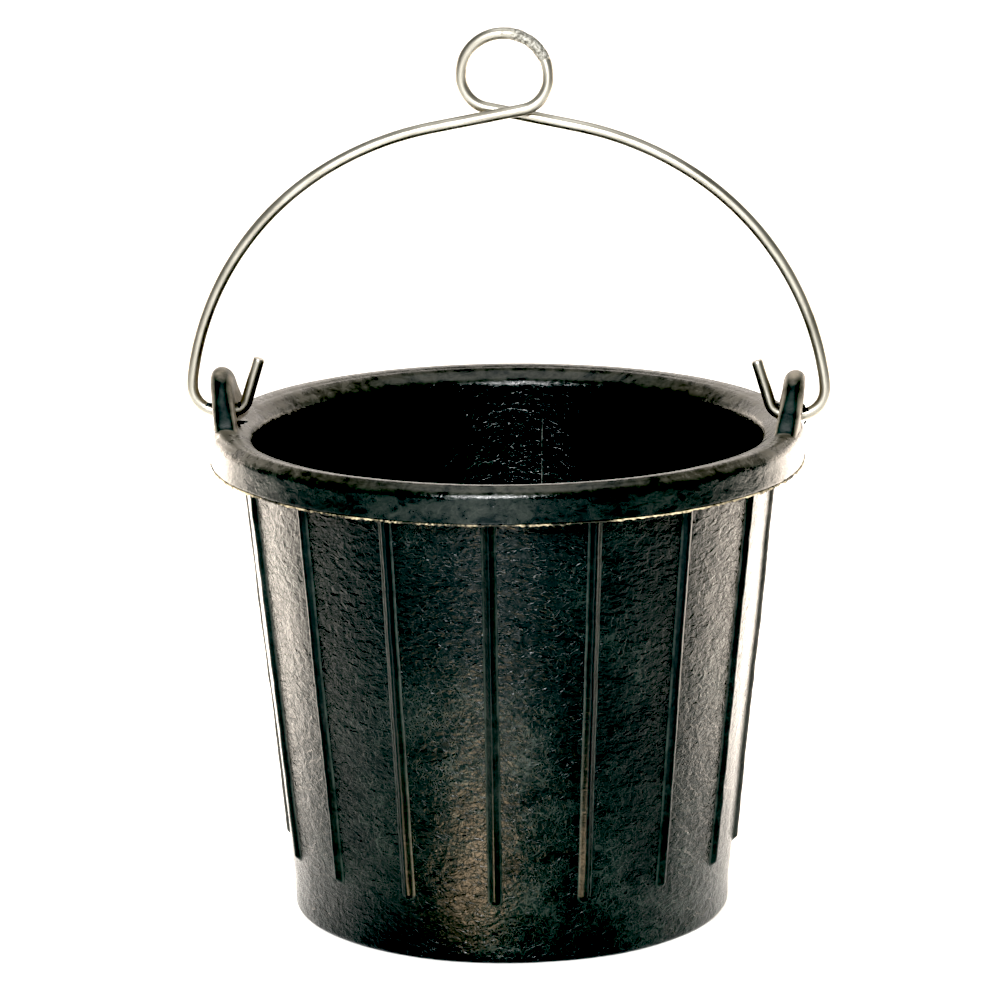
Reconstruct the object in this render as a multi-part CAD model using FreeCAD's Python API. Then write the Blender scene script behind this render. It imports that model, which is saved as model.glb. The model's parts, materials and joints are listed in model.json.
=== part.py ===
"""Stable feed bucket: a ribbed, tapered bucket moulded in black rubber, hung from a bent steel wire bail.

Millimetres. The origin is the centre of the flat underside, +Z is up, the two ears and the
bail lie in the X-Z plane, and the front is -Y. One STEP file is written for each sub-part.
"""

import FreeCAD, Part
import math
import os

Vector = FreeCAD.Vector

# ---- driving dimensions --------------------------------------------------------------------
# body
FOOT_RADIUS = 115.3        # outer radius of the upright foot band
FOOT_HEIGHT = 13.0         # the foot band ends here and the taper begins
FOOT_ROUND = 2.0           # rounded bottom edge of the foot
FLOOR_THICKNESS = 8.0
BAND_RADIUS = 155.0        # outer radius of the rim band: the bucket is 310 mm across
BAND_UNDERSIDE = 240.4     # height of the band's flat underside
WALL_TOP_RADIUS = 138.6    # outer radius of the tapered wall where it meets the band
WALL_THICKNESS = 5.5
# rim section, above the band's underside
MOUTH_RADIUS = 133.2       # inner edge of the rim, just under its rounded lip
MOUTH_HEIGHT = 249.0
LIP_MIDDLE = (136.0, 255.0)    # radius and height of the middle of the inner rounding
LIP_RADIUS = 142.0         # where the inner rounding meets the domed crest
LIP_HEIGHT = 258.2
CREST_RADIUS = 147.6
CREST_HEIGHT = 259.5
SHOULDER_ROUND = 5.0       # outer shoulder of the band
SHOULDER_HEIGHT = 253.2    # the shoulder ends here and the upright face begins
# ribs
RIB_COUNT = 16
RIB_WIDTH = 6.4
RIB_RISE = 2.8             # how far a rib stands out of the wall
RIB_BOTTOM = 31.8          # lowest point of a rib's rounded end
# ears
EAR_THICKNESS = 11.5
EAR_RADIUS = 148.0         # distance of the ear's middle from the bucket's axis at the pivot
EAR_TOP = 287.4
EAR_CROWN_RADIUS = 17.6    # the top is one round arc, seen along X
EAR_CROWN_TURN = 57.0      # degrees from the top of that arc to where a straight side begins
EAR_FLARE_HEIGHT = 262.5       # the sides flare out into the rim below this height
EAR_FLARE_MIDDLE = (28.0, 258.9)
EAR_FLARE_END = (32.5, 257.0)
EAR_HOLE_RADIUS = 4.2
PIVOT_HEIGHT = 264.0       # the bail swings about a line along X at this height
# bail
WIRE_DIAMETER = 6.2
HOOK_INNER_END = 144.6     # the straight run through an ear lies between these two places
HOOK_OUTER_END = 152.5
HOOK_INNER_BEND = 8.0
HOOK_INNER_TURN = 73.0
HOOK_TIP_LENGTH = 23.6
HOOK_OUTER_BEND = 13.0
ARM_BENDS = ((48.5, 8.8), (155.2, 50.0), (168.6, 19.9))   # radius and turn in degrees, from the hook up
EYE_HALF_WIDTH = 22.6      # the hanging eye, to the wire's centreline
EYE_TOP = 463.0
EYE_LOWER_BEND = 16.0
EYE_UPPER_BEND = 22.0
CROSSING_HEIGHT = 422.0    # where the two strands cross under the eye
STRAND_OFFSET = 3.25       # each strand's distance from the middle plane at the crossing

# ---- sizes that follow ---------------------------------------------------------------------
TAPER = (WALL_TOP_RADIUS - FOOT_RADIUS) / (BAND_UNDERSIDE - FOOT_HEIGHT)
TAPER_ANGLE = math.atan(TAPER)
WALL_ACROSS = WALL_THICKNESS / math.cos(TAPER_ANGLE)      # the wall's thickness, measured level
WIRE_RADIUS = WIRE_DIAMETER / 2
ARM_LEAN = math.degrees(math.atan(STRAND_OFFSET / (CROSSING_HEIGHT - PIVOT_HEIGHT)))
EAR_HEIGHT_RANGE = (246.0, 292.0)


def wall_radius(height):
    """Outer radius of the tapered wall at a height."""
    return FOOT_RADIUS + TAPER * (height - FOOT_HEIGHT)


def line(start, end):
    return Part.LineSegment(start, end).toShape()


def arc(start, through, end):
    return Part.Arc(start, through, end).toShape()


def at(radius, height):
    """A point of a turned section, in the X-Z plane."""
    return Vector(radius, 0, height)


def turned(edges):
    """Solid of revolution of a closed section about the bucket's axis."""
    face = Part.Face(Part.Wire(edges))
    return face.revolve(Vector(0, 0, 0), Vector(0, 0, 1), 360)


def polygon(points):
    """Edges of a closed outline with straight sides."""
    return [line(points[i - 1], points[i]) for i in range(len(points))]


def quarter_point(centre, radius, degrees):
    """A point of a circle in the X-Z plane, counted from +X towards +Z."""
    angle = math.radians(degrees)
    return centre + Vector(radius * math.cos(angle), 0, radius * math.sin(angle))


# ---- rubber body ---------------------------------------------------------------------------
def floor_disc():
    """The flat disc that closes the bottom, with the foot's rounded edge."""
    centre = at(FOOT_RADIUS - FOOT_ROUND, FOOT_ROUND)
    edges = [
        line(at(0, 0), at(FOOT_RADIUS - FOOT_ROUND, 0)),
        arc(at(FOOT_RADIUS - FOOT_ROUND, 0), quarter_point(centre, FOOT_ROUND, -45), at(FOOT_RADIUS, FOOT_ROUND)),
        line(at(FOOT_RADIUS, FOOT_ROUND), at(FOOT_RADIUS, FLOOR_THICKNESS)),
        line(at(FOOT_RADIUS, FLOOR_THICKNESS), at(0, FLOOR_THICKNESS)),
        line(at(0, FLOOR_THICKNESS), at(0, 0)),
    ]
    return turned(edges)


def wall():
    """The tapered wall, from the floor's upper face to the band, with the upright foot at its base."""
    return turned(polygon([
        at(FOOT_RADIUS, FLOOR_THICKNESS),
        at(FOOT_RADIUS, FOOT_HEIGHT),
        at(WALL_TOP_RADIUS, BAND_UNDERSIDE),
        at(WALL_TOP_RADIUS - WALL_ACROSS, BAND_UNDERSIDE),
        at(wall_radius(FLOOR_THICKNESS) - WALL_ACROSS, FLOOR_THICKNESS),
    ]))


def rim_band():
    """The thick rim: a rounded lip, a domed crest, a round shoulder and an upright band."""
    inner = at(WALL_TOP_RADIUS - WALL_ACROSS, BAND_UNDERSIDE)
    mouth = at(MOUTH_RADIUS, MOUTH_HEIGHT)
    lip = at(LIP_RADIUS, LIP_HEIGHT)
    crest = at(CREST_RADIUS, CREST_HEIGHT)
    centre = at(BAND_RADIUS - SHOULDER_ROUND, SHOULDER_HEIGHT)
    shoulder = quarter_point(centre, SHOULDER_ROUND, 68)
    face_top = at(BAND_RADIUS, SHOULDER_HEIGHT)
    edges = [
        line(inner, mouth),
        arc(mouth, at(*LIP_MIDDLE), lip),
        arc(lip, crest, shoulder),
        arc(shoulder, quarter_point(centre, SHOULDER_ROUND, 34), face_top),
        line(face_top, at(BAND_RADIUS, BAND_UNDERSIDE)),
        line(at(BAND_RADIUS, BAND_UNDERSIDE), inner),
    ]
    return turned(edges)


def rib(number):
    """A half-round rib on the wall, from its rounded lower end to the band's underside."""
    radius = RIB_WIDTH / 2
    sink = radius - RIB_RISE                      # the round's centre, measured into the wall
    slope = Vector(math.sin(TAPER_ANGLE), 0, math.cos(TAPER_ANGLE))
    outward = Vector(math.cos(TAPER_ANGLE), 0, -math.sin(TAPER_ANGLE))
    low = RIB_BOTTOM + radius
    start = at(wall_radius(low), low) - outward * sink
    length = (BAND_UNDERSIDE - low) / math.cos(TAPER_ANGLE) + RIB_WIDTH
    bar = Part.makeCylinder(radius, length, start, slope)
    end = Part.makeSphere(radius, start)
    wall_core = Part.makeCone(wall_radius(0), wall_radius(BAND_UNDERSIDE + 20), BAND_UNDERSIDE + 20)
    band_space = Part.makeBox(400, 400, 60, Vector(-200, -200, BAND_UNDERSIDE))
    shape = bar.fuse(end).cut(wall_core).cut(band_space).removeSplitter()
    shape.rotate(Vector(0, 0, 0), Vector(0, 0, 1), -90 + number * 360 / RIB_COUNT)
    return shape


def ear_outline():
    """The ear seen along X: a round crown, straight sloping sides and a flared base."""
    def side(y, z):
        return Vector(0, y, z)

    turn = math.radians(EAR_CROWN_TURN)
    shoulder_half = EAR_CROWN_RADIUS * math.sin(turn)
    shoulder_height = EAR_TOP - EAR_CROWN_RADIUS * (1 - math.cos(turn))
    half_at_flare = shoulder_half + (shoulder_height - EAR_FLARE_HEIGHT) / math.tan(turn)
    low = EAR_HEIGHT_RANGE[0]
    edges = []
    for sign in (-1, 1):
        foot = side(sign * EAR_FLARE_END[0], EAR_FLARE_END[1])
        flare = side(sign * half_at_flare, EAR_FLARE_HEIGHT)
        shoulder = side(sign * shoulder_half, shoulder_height)
        edges += [
            line(side(sign * EAR_FLARE_END[0], low), foot),
            arc(foot, side(sign * EAR_FLARE_MIDDLE[0], EAR_FLARE_MIDDLE[1]), flare),
            line(flare, shoulder),
        ]
    edges.append(arc(side(-shoulder_half, shoulder_height), side(0, EAR_TOP),
                     side(shoulder_half, shoulder_height)))
    edges.append(line(side(-EAR_FLARE_END[0], low), side(EAR_FLARE_END[0], low)))
    return Part.Face(Part.Wire(Part.__sortEdges__(edges)))


def ear(direction, rim):
    """An upright lug on the rim that leans out with the wall and is bored for the wire."""
    def middle(height):
        return EAR_RADIUS + math.tan(TAPER_ANGLE) * (height - PIVOT_HEIGHT)

    half = EAR_THICKNESS / 2 / math.cos(TAPER_ANGLE)
    low, high = EAR_HEIGHT_RANGE
    ring = turned(polygon([
        at(middle(low) - half, low),
        at(middle(low) + half, low),
        at(middle(high) + half, high),
        at(middle(high) - half, high),
    ]))
    block = ear_outline().extrude(Vector(BAND_RADIUS + 20, 0, 0))
    hole = Part.makeCylinder(EAR_HOLE_RADIUS, 60, Vector(120, 0, PIVOT_HEIGHT), Vector(1, 0, 0))
    shape = ring.common(block)
    if direction < 0:
        shape.rotate(Vector(0, 0, 0), Vector(0, 0, 1), 180)
        hole.rotate(Vector(0, 0, 0), Vector(0, 0, 1), 180)
    below = Part.makeCylinder(BAND_RADIUS, SHOULDER_HEIGHT, Vector(0, 0, 0), Vector(0, 0, 1))
    return shape.cut(rim).cut(below).cut(hole)


# ---- wire bail -----------------------------------------------------------------------------
def heading_vector(degrees):
    """Direction in the X-Z plane, counted from +X towards +Z."""
    angle = math.radians(degrees)
    return Vector(math.cos(angle), 0, math.sin(angle))


def bend(point, heading, radius, turn):
    """An arc of wire that starts at a point with a heading; a positive turn is anticlockwise."""
    sign = 1 if turn > 0 else -1
    centre = point + heading_vector(heading + 90 * sign) * radius

    def along(degrees):
        return centre + heading_vector(heading - 90 * sign + degrees) * radius

    end = along(turn)
    return arc(point, along(turn / 2), end), end, heading + turn


def right_arm():
    """The right half of the bail in the middle plane, from the wire's cut tip to the hanging eye."""
    inner_start = at(HOOK_INNER_END, PIVOT_HEIGHT)
    back, tip_root, heading = bend(inner_start, 180, HOOK_INNER_BEND, -HOOK_INNER_TURN)
    tip = tip_root + heading_vector(heading) * HOOK_TIP_LENGTH
    outer_start = at(HOOK_OUTER_END, PIVOT_HEIGHT)
    edges = [line(tip, tip_root), back, line(inner_start, outer_start)]
    point, heading = outer_start, 0
    edge, point, heading = bend(point, heading, HOOK_OUTER_BEND, 90)
    edges.append(edge)
    for radius, turn in ARM_BENDS:
        edge, point, heading = bend(point, heading, radius, turn)
        edges.append(edge)
    return edges, point, heading


def lean(shape, side):
    """Each arm leans a little off the middle plane, so that the strands pass side by side."""
    shape.rotate(Vector(0, 0, PIVOT_HEIGHT), Vector(1, 0, 0), -side * ARM_LEAN)
    return shape


def leaning_point(point, side):
    return lean(Part.Vertex(point), side).Point


def leaning_arm(edges, side):
    """The arm's edges in their leaning plane; the left arm (side -1) is also mirrored."""
    copies = [edge.copy() for edge in edges]
    if side < 0:
        copies = [edge.mirror(Vector(0, 0, 0), Vector(1, 0, 0)) for edge in copies]
    return [lean(edge, side) for edge in copies]


def eye_corners(arm_end, arm_heading):
    """Corners of the eye's tangent outline, two for each of its four bends, from the front strand round."""
    rising = 180 - arm_heading                            # the strands' slope where they cross
    slope = math.tan(math.radians(rising))
    start_x = EYE_HALF_WIDTH - EYE_LOWER_BEND * (1 - math.sin(math.radians(rising)))
    start = at(start_x, arm_end.z + (arm_end.x + start_x) * slope)
    right_half = []
    for begin, heading, turn, radius in (
        (start, rising, 90 - rising, EYE_LOWER_BEND),
        (at(EYE_HALF_WIDTH, EYE_TOP - EYE_UPPER_BEND), 90, 90, EYE_UPPER_BEND),
    ):
        reach = radius * math.tan(math.radians(turn / 4))
        first = begin + heading_vector(heading) * reach
        second = first + heading_vector(heading + turn / 2) * (2 * reach)
        right_half += [first, second]
    corners = right_half + [Vector(-c.x, 0, c.z) for c in reversed(right_half)]
    last = len(corners) - 1
    for i in range(1, last):
        corners[i].y = STRAND_OFFSET * (2 * i / last - 1)
    corners[0] = leaning_point(corners[0], -1)
    corners[last] = leaning_point(corners[last], 1)
    return corners


def eye_edges(start, corners, end):
    """Straight runs and tangent arcs through the eye's corners; two corners share each bend."""
    points = [start] + corners + [end]
    edges = []
    here = start
    for i in range(1, len(points) - 1):
        partner = points[i + 1] if i % 2 else points[i - 1]
        reach = points[i].distanceToPoint(partner) / 2
        into = (points[i - 1] - points[i]).normalize()
        out = (points[i + 1] - points[i]).normalize()
        begin = points[i] + into * reach
        finish = points[i] + out * reach
        half = into.getAngle(out) / 2
        middle = (into + out).normalize()
        bend_radius = reach * math.tan(half)
        through = points[i] + middle * (reach / math.cos(half) - bend_radius)
        if i % 2:
            edges.append(line(here, begin))
        edges.append(arc(begin, through, finish))
        here = finish
    edges.append(line(here, end))
    return edges


def bail_wire():
    """One length of round wire: hook, arm, hanging eye, arm, hook."""
    edges, arm_end, heading = right_arm()
    left_end = leaning_point(Vector(-arm_end.x, 0, arm_end.z), -1)
    right_end = leaning_point(arm_end, 1)
    eye = eye_edges(left_end, eye_corners(arm_end, heading), right_end)
    path_edges = leaning_arm(edges, -1) + eye + leaning_arm(edges, 1)
    path = Part.Wire(Part.__sortEdges__(path_edges))
    tip = path.OrderedVertexes[0].Point
    nearby = path.OrderedVertexes[1].Point
    section = Part.Wire(Part.makeCircle(WIRE_RADIUS, tip, nearby - tip))
    wire = path.makePipeShell([section], True, False)
    expected = math.pi * WIRE_RADIUS ** 2 * path.Length
    print(f"bail: {path.Length:.1f} mm of wire, volume {wire.Volume:.0f} of {expected:.0f} mm3")
    return wire


# ---- write the sub-parts -------------------------------------------------------------------
def main():
    rim = rim_band()
    shapes = {
        "floor_disc": floor_disc(),
        "wall": wall(),
        "rim_band": rim,
        "ear_left": ear(-1, rim),
        "ear_right": ear(1, rim),
        "bail_wire": bail_wire(),
    }
    for number in range(RIB_COUNT):
        shapes[f"rib_{number + 1:02d}"] = rib(number)
    os.makedirs("parts", exist_ok=True)
    for name, shape in shapes.items():
        box = shape.BoundBox
        print(f"{name}: valid {shape.isValid()}, {len(shape.Solids)} solid, {shape.Volume / 1000:.1f} cm3,"
              f" z {box.ZMin:.1f} to {box.ZMax:.1f}")
        shape.exportStep(f"parts/{name}.step")


main()
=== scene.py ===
# %% [markdown]
# # A stable feed bucket in moulded rubber
# A twelve-litre rubber bucket hangs from one length of bent steel wire. The CAD frame settles every
# size, so this notebook only dresses it: each solid gets a finer skin in the same place.
# Everything starts from the frame, because a skin that is placed by eye soon drifts off its part.
# The box is kept from the start, to see at the end how far the skins stand out of it.

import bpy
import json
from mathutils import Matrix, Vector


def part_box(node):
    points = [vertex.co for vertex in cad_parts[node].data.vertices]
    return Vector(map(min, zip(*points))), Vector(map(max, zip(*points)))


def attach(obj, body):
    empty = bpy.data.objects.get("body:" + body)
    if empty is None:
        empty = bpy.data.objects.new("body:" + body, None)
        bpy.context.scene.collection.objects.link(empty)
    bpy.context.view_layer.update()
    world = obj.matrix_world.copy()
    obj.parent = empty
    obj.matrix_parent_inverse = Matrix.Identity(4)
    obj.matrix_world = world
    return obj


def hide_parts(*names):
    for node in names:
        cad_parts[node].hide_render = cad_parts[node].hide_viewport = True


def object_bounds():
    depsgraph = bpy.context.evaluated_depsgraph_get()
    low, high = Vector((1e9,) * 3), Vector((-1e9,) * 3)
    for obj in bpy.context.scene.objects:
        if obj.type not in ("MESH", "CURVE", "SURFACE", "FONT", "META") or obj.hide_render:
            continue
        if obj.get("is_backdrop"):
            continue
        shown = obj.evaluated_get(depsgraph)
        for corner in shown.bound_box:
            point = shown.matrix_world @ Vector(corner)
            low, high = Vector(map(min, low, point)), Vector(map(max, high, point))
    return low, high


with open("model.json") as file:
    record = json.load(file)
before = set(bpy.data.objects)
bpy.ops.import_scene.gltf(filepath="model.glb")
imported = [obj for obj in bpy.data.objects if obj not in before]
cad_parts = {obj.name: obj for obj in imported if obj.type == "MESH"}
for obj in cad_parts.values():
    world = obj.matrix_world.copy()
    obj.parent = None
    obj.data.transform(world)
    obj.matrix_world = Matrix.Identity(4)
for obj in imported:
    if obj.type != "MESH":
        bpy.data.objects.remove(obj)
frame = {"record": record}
cad_low, cad_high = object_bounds()

# %% Tools for the whole notebook
import json
import math
import random
from functools import partial

import bmesh
import bpy
import numpy as np
from mathutils import Quaternion, Vector, noise

MM = 0.001
bpy.context.scene.view_settings.view_transform = "Standard"   # hex colours then show as written
print("one millimetre is", MM, "m; view transform", bpy.context.scene.view_settings.view_transform)


def size_mm(node):
    """Lowest and highest corner of a CAD node, in millimetres."""
    low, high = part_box(node)
    return Vector(low) / MM, Vector(high) / MM


# %% [markdown]
# ## Sizes that every skin shares
# The rim, the wall, the foot and the ribs meet each other, so their sizes are read from the frame once.
# Only what a box can't say, such as a fillet or a wall's thickness, is given here.

# %% Read the bucket's sizes from the frame
rim_low, rim_high = size_mm("rim_band")
floor_edge = size_mm("floor_disc")[1]
BAND_RADIUS = rim_high.x
BAND_UNDERSIDE = rim_low.z
CREST_HEIGHT = rim_high.z
FOOT_RADIUS = floor_edge.x
FLOOR_THICKNESS = floor_edge.z
WALL_TOP_RADIUS = size_mm("wall")[1].x
RIB_BOTTOM = size_mm("rib_16")[0].z
FOOT_HEIGHT = 13.0       # the foot is upright up to here, and the taper starts
FOOT_ROUND = 2.0
WALL_ACROSS = 5.53       # wall thickness, measured level across
TAPER = (WALL_TOP_RADIUS - FOOT_RADIUS) / (BAND_UNDERSIDE - FOOT_HEIGHT)
RIB_COUNT = 16
RIB_HALF_WIDTH = 3.2
RIB_RISE = 2.8
RIB_SKIRT = 4.1          # half the rib's width where its fillets end on the wall
PIVOT_HEIGHT = frame["record"]["behaviour"]["joints"][0]["pos_m"][2] / MM
print(f"rim {2 * BAND_RADIUS:.0f} mm across, body {CREST_HEIGHT:.1f} mm high, taper {TAPER:.4f}")


def wall_radius(height):
    """Outer radius of the wall, with its upright foot."""
    return FOOT_RADIUS + TAPER * max(height - FOOT_HEIGHT, 0)


# %% Make a piece from points
def grid_faces(rows, columns, ring_rows=False, ring_columns=True):
    """Four-sided faces over a grid of points; a ring closes on itself."""
    faces = []
    for i in range(rows if ring_rows else rows - 1):
        below, above = i * columns, (i + 1) % rows * columns
        for j in range(columns if ring_columns else columns - 1):
            k = (j + 1) % columns
            faces.append((below + j, below + k, above + k, above + j))
    return faces


def piece(name, points, faces, material, body, stands_for=(), crease=42):
    """A smooth mesh in the row frame that rides on a body; points are in millimetres."""
    mesh = bpy.data.meshes.new(name)
    mesh.from_pydata((np.asarray(points, float) * MM).tolist(), [], [tuple(f) for f in faces])
    tidy = bmesh.new()
    tidy.from_mesh(mesh)
    bmesh.ops.recalc_face_normals(tidy, faces=tidy.faces)
    tidy.to_mesh(mesh)
    tidy.free()
    mesh.shade_smooth()
    mesh.set_sharp_from_angle(angle=math.radians(crease))
    mesh.materials.append(material)
    made = bpy.data.objects.new(name, mesh)
    bpy.context.scene.collection.objects.link(made)
    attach(made, body)
    if stands_for:
        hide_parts(*stands_for)
    return made


print("a grid of 3 rows of 4 points has", len(grid_faces(3, 4)), "faces when each row is a ring")

# %% [markdown]
# ## Colour and node helpers
# Paint and rubber colours are picked as sRGB hex, but shaders mix light, which is linear.
# One function does that change, and one function adds a node with its settings and links,
# so that each material below reads as a list of what it is made of.

# %% Turn a hex colour to linear, and add a node
def linear(hex_colour):
    """sRGB hex to linear RGBA."""
    levels = [int(hex_colour[i:i + 2], 16) / 255 for i in (1, 3, 5)]
    return tuple(c / 12.92 if c <= 0.04045 else ((c + 0.055) / 1.055) ** 2.4 for c in levels) + (1.0,)


def add(tree, kind, sockets, **settings):
    """Adds a node with its settings. A socket takes a value, or another node or its output."""
    made = tree.nodes.new("ShaderNode" + kind)
    for key, value in settings.items():
        setattr(made, key, value)
    in_use = [s for s in made.inputs if s.enabled]
    for key, value in sockets.items():
        socket = in_use[key] if isinstance(key, int) else next(s for s in in_use if s.name == key)
        if isinstance(value, bpy.types.Node):
            value = next(s for s in value.outputs if s.enabled)
        if isinstance(value, bpy.types.NodeSocket):
            tree.links.new(value, socket)
        else:
            socket.default_value = value
    return made


def new_material(name):
    """A node material with an empty tree, and the function that adds nodes to it."""
    made = bpy.data.materials.new(name)
    made.use_nodes = True
    made.node_tree.nodes.clear()
    return made, partial(add, made.node_tree)


print("black rubber #0a1110 is", [round(c, 4) for c in linear("#0a1110")[:3]], "in linear light")

# %% [markdown]
# ## Moulded black rubber
# The bucket is compression-moulded vulcanised rubber: carbon black makes it nearly black, and the
# mould's worn steel leaves a leathery skin of fine curled wrinkles about a millimetre wide.
# Stable dust sits in those wrinkles, and what faces up is paled by scuff and by painted top light. The
# wrinkles are too shallow to model, so they are bump; contour lines of a soft noise give their curled,
# hair-like shape.
# Its IOR is near that of glass, 1.5, but a worn mould's skin mirrors less, so the specular level stands
# under 0.5.

# %% Soft noise and curled lines, sized in millimetres
def soft_noise(node, place, size, shift=(0, 0, 0), stretch=(1, 1, 1), **sockets):
    """Noise whose blotches are about size millimetres wide."""
    moved = node("Mapping", {"Vector": place, "Location": shift, "Scale": stretch})
    return node("TexNoise", {"Vector": moved, "Scale": 0.5 / size} | sockets)


def curled_lines(node, place, size, thin, shift, stretch=(1, 1, 1)):
    """Thin curled lines, where a soft noise crosses its middle value."""
    field = soft_noise(node, place, size, shift, stretch, Detail=1.5, Distortion=0.9)
    away = node("Math", {0: field, 1: 0.5}, operation="SUBTRACT")
    gap = node("Math", {0: away}, operation="ABSOLUTE")
    return node("MapRange", {"Value": gap, "From Min": 0.0, "From Max": thin,
                             "To Min": 1.0, "To Max": 0.0})


print("patterns count in millimetres")


# %% Moulded rubber, dusty
def moulded_rubber(name, film=0.045, hairs=0.18, patch_size=10, edge=0.14, bare_share=0.52,
                   bare_clouds=0.43, wrinkle=1.0, wrinkle_inside=0.42, foot_dust_and_highlight=0.0, scuff_and_top_light=0.0,
                   scuff_and_light_from=0.25, rubbed_and_lit_sides=0.0, satin=0.16, shine=0.28, bare="#050b0b",
                   dusty="#7f8d83"):
    """Black vulcanised rubber: dust greys its wrinkles, and scuff with painted top light pales what
    faces up.

    film and hairs are the shares of dust in the patches and in the wrinkles. A higher bare_share or
    bare_clouds leaves more of the rubber bare, and edge is how soft a patch's border is.
    """
    made, node = new_material(name)
    metres = node("TexCoord", {}).outputs["Object"]
    place = node("VectorMath", {0: metres, "Scale": 1 / MM}, operation="SCALE")

    # Clouds and patches of dust, crepe-like wrinkles that run round the wall, and a fine grain.
    clouds = soft_noise(node, place, 38, (11, 4, 7), Detail=3.0)
    patches = soft_noise(node, place, patch_size, (3, 17, 29), (0.7, 0.7, 1), Detail=7.0, Roughness=0.64,
                         Distortion=0.4)
    crepe = soft_noise(node, place, 1.7, (2, 3, 5), (0.6, 0.6, 1), Detail=2.0, Distortion=0.7)
    grain = soft_noise(node, place, 0.5, Detail=1.0)
    cloudy = node("MapRange", {"Value": clouds, "From Min": bare_clouds, "From Max": bare_clouds + 0.24})
    patchy = node("MapRange", {"Value": patches, "From Min": bare_share - edge,
                               "From Max": bare_share + edge})

    # Three sizes of curled wrinkle, the finest faintest.
    long_curls = curled_lines(node, place, 6.0, 0.016, (5, 0, 2), (1, 1, 1.5))
    short_curls = curled_lines(node, place, 3.0, 0.022, (1, 9, 4))
    fine_curls = curled_lines(node, place, 1.5, 0.045, (8, 2, 6))
    short_curls = node("Math", {0: short_curls, 1: 0.75}, operation="MULTIPLY")
    fine_curls = node("Math", {0: fine_curls, 1: 0.55}, operation="MULTIPLY")
    lines = node("Math", {0: long_curls, 1: short_curls}, operation="MAXIMUM")
    lines = node("Math", {0: lines, 1: fine_curls}, operation="MAXIMUM")

    # Dust lies as a thin film in the clouds and as bright fine lines in the wrinkles.
    dusting = node("Math", {0: cloudy, 1: patchy}, operation="MULTIPLY")
    line_share = node("Math", {0: dusting, 1: 0.85, 2: 0.12}, operation="MULTIPLY_ADD")
    line_dust = node("Math", {0: lines, 1: line_share}, operation="MULTIPLY")
    line_dust = node("Math", {0: line_dust, 1: hairs}, operation="MULTIPLY")
    grey = node("Math", {0: dusting, 1: film, 2: line_dust}, operation="MULTIPLY_ADD", use_clamp=True)

    # Pale lines along a rib's two foot lines: dust left by rags, and painted highlight along the flanks.
    if foot_dust_and_highlight:
        from_middle = node("Attribute", {}, attribute_name="from_middle").outputs["Fac"]
        off_line = node("Math", {0: from_middle, 1: RIB_HALF_WIDTH}, operation="SUBTRACT")
        off_line = node("Math", {0: off_line}, operation="ABSOLUTE")
        foot_line = node("MapRange", {"Value": off_line, "From Min": 0.1, "From Max": 0.8,
                                      "To Min": foot_dust_and_highlight, "To Max": 0.0})
        broken = node("MapRange", {"Value": patches, "From Min": 0.38, "From Max": 0.58, "To Min": 0.25})
        foot_line = node("Math", {0: foot_line, 1: broken}, operation="MULTIPLY")
        grey = node("Math", {0: grey, 1: foot_line}, operation="MAXIMUM")

    # What faces up is paled, most of all near the ears: partly scuff where the wire and hands rub,
    # partly painted top light. An ear's two broad sides, which face along X, are paled the same way:
    # rubbing and painted side light.
    facing = node("NewGeometry", {}).outputs["Normal"]
    normal = node("SeparateXYZ", {0: facing})
    upward = node("MapRange", {"Value": normal.outputs["Z"], "From Min": scuff_and_light_from, "From Max": 0.92})
    sideward = node("Math", {0: normal.outputs["X"]}, operation="ABSOLUTE")
    sideward = node("MapRange", {"Value": sideward, "From Min": 0.45, "From Max": 0.85,
                                 "To Max": rubbed_and_lit_sides})
    upward = node("Math", {0: upward, 1: sideward}, operation="MAXIMUM")
    wear_and_top_light = node("MapRange", {"Value": patches, "From Min": 0.36, "From Max": 0.62, "To Min": 0.3})
    wear_and_top_light = node("Math", {0: upward, 1: wear_and_top_light}, operation="MULTIPLY")
    sideways = node("SeparateXYZ", {0: place}).outputs["X"]
    sideways = node("Math", {0: sideways}, operation="ABSOLUTE")
    by_ears = node("MapRange", {"Value": sideways, "From Min": 70.0, "From Max": 150.0,
                                "To Min": 0.32 * scuff_and_top_light, "To Max": scuff_and_top_light})
    wear_and_top_light = node("Math", {0: wear_and_top_light, 1: by_ears}, operation="MULTIPLY")
    colour = node("Mix", {"Factor": grey, "A": linear(bare), "B": linear(dusty)}, data_type="RGBA")
    # This pale colour is partly scuff and partly painted top and side light.
    colour = node("Mix", {"Factor": wear_and_top_light, "A": colour, "B": linear("#8a8173")}, data_type="RGBA")

    # Dust is matt; bare rubber keeps a wet-looking shine, which the wrinkles break up.
    roughness = node("MapRange", {"Value": node("Math", {0: grey, 1: wear_and_top_light}, operation="ADD"),
                                  "From Min": 0.0, "From Max": 0.6, "To Min": satin, "To Max": 0.5})
    relief = node("Math", {0: crepe, 1: 0.95}, operation="MULTIPLY")
    relief = node("Math", {0: lines, 1: 0.11, 2: relief}, operation="MULTIPLY_ADD")
    relief = node("Math", {0: grain, 1: 0.05, 2: relief}, operation="MULTIPLY_ADD")
    relief = node("Math", {0: patches, 1: 1.2, 2: relief}, operation="MULTIPLY_ADD")

    # The inside faces the bucket's axis, and its wrinkles are the same on the wall and the lip.
    outward = node("VectorMath", {0: facing, 1: place}, operation="DOT_PRODUCT").outputs["Value"]
    depth = node("MapRange", {"Value": outward, "From Min": -30.0, "From Max": 20.0,
                              "To Min": wrinkle_inside, "To Max": wrinkle})
    relief = node("Math", {0: relief, 1: depth}, operation="MULTIPLY")
    bump = node("Bump", {"Height": relief, "Distance": MM, "Strength": 1.0})
    shader = node("BsdfPrincipled", {"Base Color": colour, "Roughness": roughness, "Normal": bump,
                                     "Specular IOR Level": shine, "IOR": 1.5})
    node("OutputMaterial", {"Surface": shader})
    return made


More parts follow.
